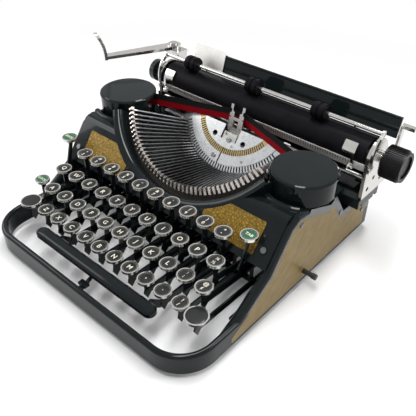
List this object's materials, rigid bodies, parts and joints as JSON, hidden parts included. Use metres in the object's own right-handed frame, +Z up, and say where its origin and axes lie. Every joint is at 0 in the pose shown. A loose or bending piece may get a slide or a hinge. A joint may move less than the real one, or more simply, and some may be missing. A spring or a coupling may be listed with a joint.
{
  "type": "portable typewriter",
  "caption": "Manual portable typewriter with four banks of round keys, an open type basket, ribbon spools and a sliding carriage with platen, paper bail and line-space lever.",
  "frame": {"origin": "on the surface that the feet stand on, under the middle of the resting box", "axes": "+X to the typist's right, +Y to the back, +Z up"},
  "size_m": [0.329, 0.258, 0.1447],
  "materials": {
    "black_enamel": "gloss",
    "gold_crackle": "satin",
    "gold_grain": "satin",
    "rubber": "matte",
    "nickel": "polished",
    "bright_steel": "brushed",
    "brass": "satin",
    "leather_pad": "matte",
    "ribbon_cloth": "matte",
    "black_lacquer": "gloss",
    "platen_rubber": "satin",
    "black_knob": "satin"
  },
  "bodies": {
    "frame": {"base_frame": "black_enamel", "top_shell": "black_enamel", "basket_rim": "black_enamel", "front_inlays": "gold_crackle", "side_panels": "gold_grain", "feet": "rubber", "body_screws": "nickel", "segment": "bright_steel", "segment_comb": "brass", "type_bars": "bright_steel", "type_rest": "leather_pad", "type_guide": "nickel", "ribbon": "ribbon_cloth", "spool_decks": "black_enamel", "spool_cups": "black_enamel", "carriage_rail": "black_enamel", "key_comb": "black_enamel", "fulcrum_rod": "bright_steel", "bar_stop": "black_enamel"},
    "number_bank": {"levers_number": "black_enamel", "keys_number": "nickel"},
    "upper_bank": {"levers_upper": "black_enamel", "keys_upper": "nickel"},
    "home_bank": {"levers_home": "black_enamel", "keys_home": "nickel"},
    "lower_bank": {"levers_lower": "black_enamel", "keys_lower": "nickel"},
    "one_key": {"key_one": "nickel"},
    "one_type_bar": {"type_bar_one": "bright_steel"},
    "vibrator": {"ribbon_vibrator": "nickel"},
    "shift": {"shift_keys": "nickel"},
    "lock": {"shift_lock": "nickel"},
    "backspace": {"backspace_key": "nickel"},
    "tabulator": {"tab_key": "nickel"},
    "space": {"space_bar": "black_lacquer"},
    "left_spool": {"spool_left": "bright_steel"},
    "right_spool": {"spool_right": "bright_steel"},
    "left_cover": {"spool_cover_left": "black_enamel"},
    "right_cover": {"spool_cover_right": "black_enamel"},
    "side_rod": {"push_rod": "rubber"},
    "drum": {"spring_drum": "bright_steel"},
    "bed": {"carriage_bed": "black_enamel", "margin_rack": "bright_steel"},
    "left_margin": {"margin_stop_left": "nickel"},
    "right_margin": {"margin_stop_right": "nickel"},
    "carriage": {"carriage_ends": "nickel", "line_scale": "bright_steel", "paper_pan": "black_enamel", "paper_table": "black_enamel"},
    "guide": {"paper_guide": "nickel"},
    "roller": {"platen": "platen_rubber", "platen_shaft": "nickel", "platen_knob": "black_knob", "ratchet_wheel": "bright_steel"},
    "feed": {"feed_roller": "platen_rubber"},
    "paper_bail": {"bail": "nickel"},
    "bail_wheels": {"bail_rollers": "platen_rubber"},
    "fingers": {"paper_fingers": "nickel"},
    "line_lever": {"line_space_lever": "nickel"},
    "release": {"release_lever": "nickel"}
  },
  "joints": [
    {"name": "number_keys", "type": "hinge", "parent": "frame", "child": "number_bank", "pos_m": [0.00175, 0.071, 0.018], "axis": [1, 0, 0], "range_deg": [0, 5], "stiffness_Nm_per_rad": 8, "springref_deg": -6.88},
    {"name": "upper_keys", "type": "hinge", "parent": "frame", "child": "upper_bank", "pos_m": [0.00175, 0.071, 0.018], "axis": [1, 0, 0], "range_deg": [0, 4.2], "stiffness_Nm_per_rad": 8, "springref_deg": -6.88},
    {"name": "home_keys", "type": "hinge", "parent": "frame", "child": "home_bank", "pos_m": [0.00175, 0.071, 0.018], "axis": [1, 0, 0], "range_deg": [0, 3.7], "stiffness_Nm_per_rad": 8, "springref_deg": -6.88},
    {"name": "lower_keys", "type": "hinge", "parent": "frame", "child": "lower_bank", "pos_m": [0.00175, 0.071, 0.018], "axis": [1, 0, 0], "range_deg": [0, 3.4], "stiffness_Nm_per_rad": 8, "springref_deg": -6.88},
    {"name": "one_key_press", "type": "hinge", "parent": "frame", "child": "one_key", "pos_m": [0.00175, 0.071, 0.018], "axis": [1, 0, 0], "range_deg": [0, 3.7], "stiffness_Nm_per_rad": 1, "springref_deg": -6.88},
    {"name": "type_bar_swing", "type": "hinge", "parent": "frame", "child": "one_type_bar", "pos_m": [0.00012, 0.05071, 0.04872], "axis": [-0.9997, 0.0157, 0.0201], "range_deg": [0, 104.5]},
    {"name": "vibrator_rise", "type": "slide", "parent": "frame", "child": "vibrator", "axis": [0, 0.2588, 0.9659], "range_m": [0, 0.0071]},
    {"name": "shift_press", "type": "hinge", "parent": "frame", "child": "shift", "pos_m": [0.00175, 0.071, 0.018], "axis": [1, 0, 0], "range_deg": [0, 3.2], "stiffness_Nm_per_rad": 4, "springref_deg": -5.73},
    {"name": "lock_press", "type": "hinge", "parent": "frame", "child": "lock", "pos_m": [0.00175, 0.071, 0.018], "axis": [1, 0, 0], "range_deg": [0, 3], "stiffness_Nm_per_rad": 1, "springref_deg": -6.88},
    {"name": "backspace_press", "type": "hinge", "parent": "frame", "child": "backspace", "pos_m": [0.00175, 0.071, 0.018], "axis": [1, 0, 0], "range_deg": [0, 4], "stiffness_Nm_per_rad": 1, "springref_deg": -6.88},
    {"name": "tab_press", "type": "hinge", "parent": "frame", "child": "tabulator", "pos_m": [0.00175, 0.071, 0.018], "axis": [1, 0, 0], "range_deg": [0, 4], "stiffness_Nm_per_rad": 1, "springref_deg": -6.88},
    {"name": "space_press", "type": "hinge", "parent": "frame", "child": "space", "pos_m": [0.00175, 0.071, 0.018], "axis": [1, 0, 0], "range_deg": [0, 2], "stiffness_Nm_per_rad": 3, "springref_deg": -6.88},
    {"name": "left_spool_turn", "type": "hinge", "parent": "frame", "child": "left_spool", "pos_m": [-0.10395, 0.037, 0.09], "axis": [0, 0, 1], "continuous": true},
    {"name": "right_spool_turn", "type": "hinge", "parent": "frame", "child": "right_spool", "pos_m": [0.10745, 0.037, 0.09], "axis": [0, 0, 1], "continuous": true},
    {"name": "left_cover_lift", "type": "slide", "parent": "frame", "child": "left_cover", "axis": [0, 0, 1], "range_m": [0, 0.008]},
    {"name": "right_cover_lift", "type": "slide", "parent": "frame", "child": "right_cover", "axis": [0, 0, 1], "range_m": [0, 0.008]},
    {"name": "side_rod_push", "type": "slide", "parent": "frame", "child": "side_rod", "axis": [-1, 0, 0], "range_m": [0, 0.004]},
    {"name": "drum_turn", "type": "hinge", "parent": "frame", "child": "drum", "pos_m": [-0.08625, 0.121, 0.022], "axis": [0, 1, 0], "range_deg": [-345, 290]},
    {"name": "carriage_travel", "type": "slide", "parent": "frame", "child": "bed", "axis": [1, 0, 0], "range_m": [-0.095, 0.08]},
    {"name": "left_margin_set", "type": "slide", "parent": "bed", "child": "left_margin", "axis": [1, 0, 0], "range_m": [-0.04, 0.05]},
    {"name": "right_margin_set", "type": "slide", "parent": "bed", "child": "right_margin", "axis": [1, 0, 0], "range_m": [-0.05, 0.04]},
    {"name": "carriage_lift", "type": "slide", "parent": "bed", "child": "carriage", "axis": [0, 0, 1], "range_m": [0, 0.0061]},
    {"name": "paper_guide_set", "type": "slide", "parent": "carriage", "child": "guide", "axis": [1, 0, 0], "range_m": [0, 0.06]},
    {"name": "platen_turn", "type": "hinge", "parent": "carriage", "child": "roller", "pos_m": [0.01505, 0.1015, 0.097], "axis": [1, 0, 0], "continuous": true},
    {"name": "feed_turn", "type": "hinge", "parent": "carriage", "child": "feed", "pos_m": [0.01505, 0.1015, 0.0762], "axis": [1, 0, 0], "continuous": true},
    {"name": "bail_open", "type": "hinge", "parent": "carriage", "child": "paper_bail", "pos_m": [0.01505, 0.089, 0.09], "axis": [1, 0, 0], "range_deg": [0, 40]},
    {"name": "bail_wheel_turn", "type": "hinge", "parent": "paper_bail", "child": "bail_wheels", "pos_m": [0.01505, 0.1, 0.1201], "axis": [1, 0, 0], "continuous": true},
    {"name": "finger_open", "type": "hinge", "parent": "carriage", "child": "fingers", "pos_m": [0.01505, 0.0843, 0.08839], "axis": [1, 0, 0], "range_deg": [0, 25], "stiffness_Nm_per_rad": 0.02, "springref_deg": -22.92},
    {"name": "line_lever_pull", "type": "hinge", "parent": "carriage", "child": "line_lever", "pos_m": [-0.11945, 0.119, 0.12], "axis": [0, 0, 1], "range_deg": [0, 28], "stiffness_Nm_per_rad": 0.3, "springref_deg": -5.73},
    {"name": "release_pull", "type": "hinge", "parent": "carriage", "child": "release", "pos_m": [0.14605, 0.117, 0.092], "axis": [1, 0, 0], "range_deg": [0, 20], "stiffness_Nm_per_rad": 0.3, "springref_deg": -11.46}
  ],
  "couplings": [
    {"joint": "type_bar_swing", "follows": "one_key_press", "ratio": 28.108},
    {"joint": "vibrator_rise", "follows": "one_key_press", "m_per_rad": 0.1084},
    {"joint": "carriage_lift", "follows": "shift_press", "m_per_rad": 0.10743},
    {"joint": "right_spool_turn", "follows": "left_spool_turn", "ratio": 1},
    {"joint": "feed_turn", "follows": "platen_turn", "ratio": -3.1},
    {"joint": "drum_turn", "follows": "carriage_travel", "rad_per_m": 62.5}
  ]
}
